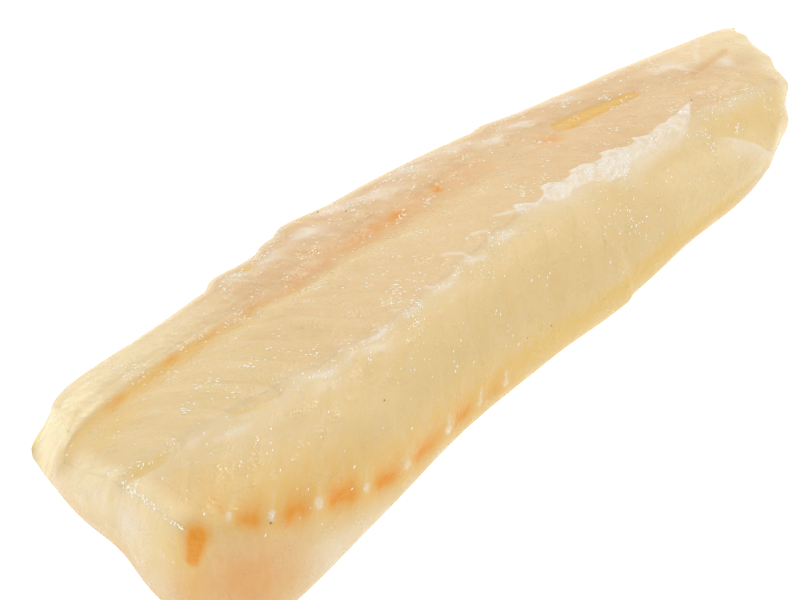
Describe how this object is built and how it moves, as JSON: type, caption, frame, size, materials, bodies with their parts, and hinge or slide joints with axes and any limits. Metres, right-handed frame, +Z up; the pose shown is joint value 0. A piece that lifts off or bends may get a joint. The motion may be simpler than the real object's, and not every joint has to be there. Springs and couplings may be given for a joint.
{
  "type": "raw cod loin",
  "caption": "Thick raw white-fish loin, cut straight across at its deep end and tapering to a thin ragged tail, with a flaked top and a flat underside to lie on.",
  "frame": {"origin": "under the middle of the loin's outline, on the surface it lies on", "axes": "+X from the cut end to the tail, +Y towards the thin back edge, +Z up out of the flaked top"},
  "size_m": [0.2662, 0.0888, 0.0299],
  "materials": {
    "raw_flesh": "moist, translucent raw fish flesh, cream to pale yellow with orange-brown dark muscle"
  },
  "bodies": {
    "root": {"cod_loin": "raw_flesh"}
  },
  "joints": []
}
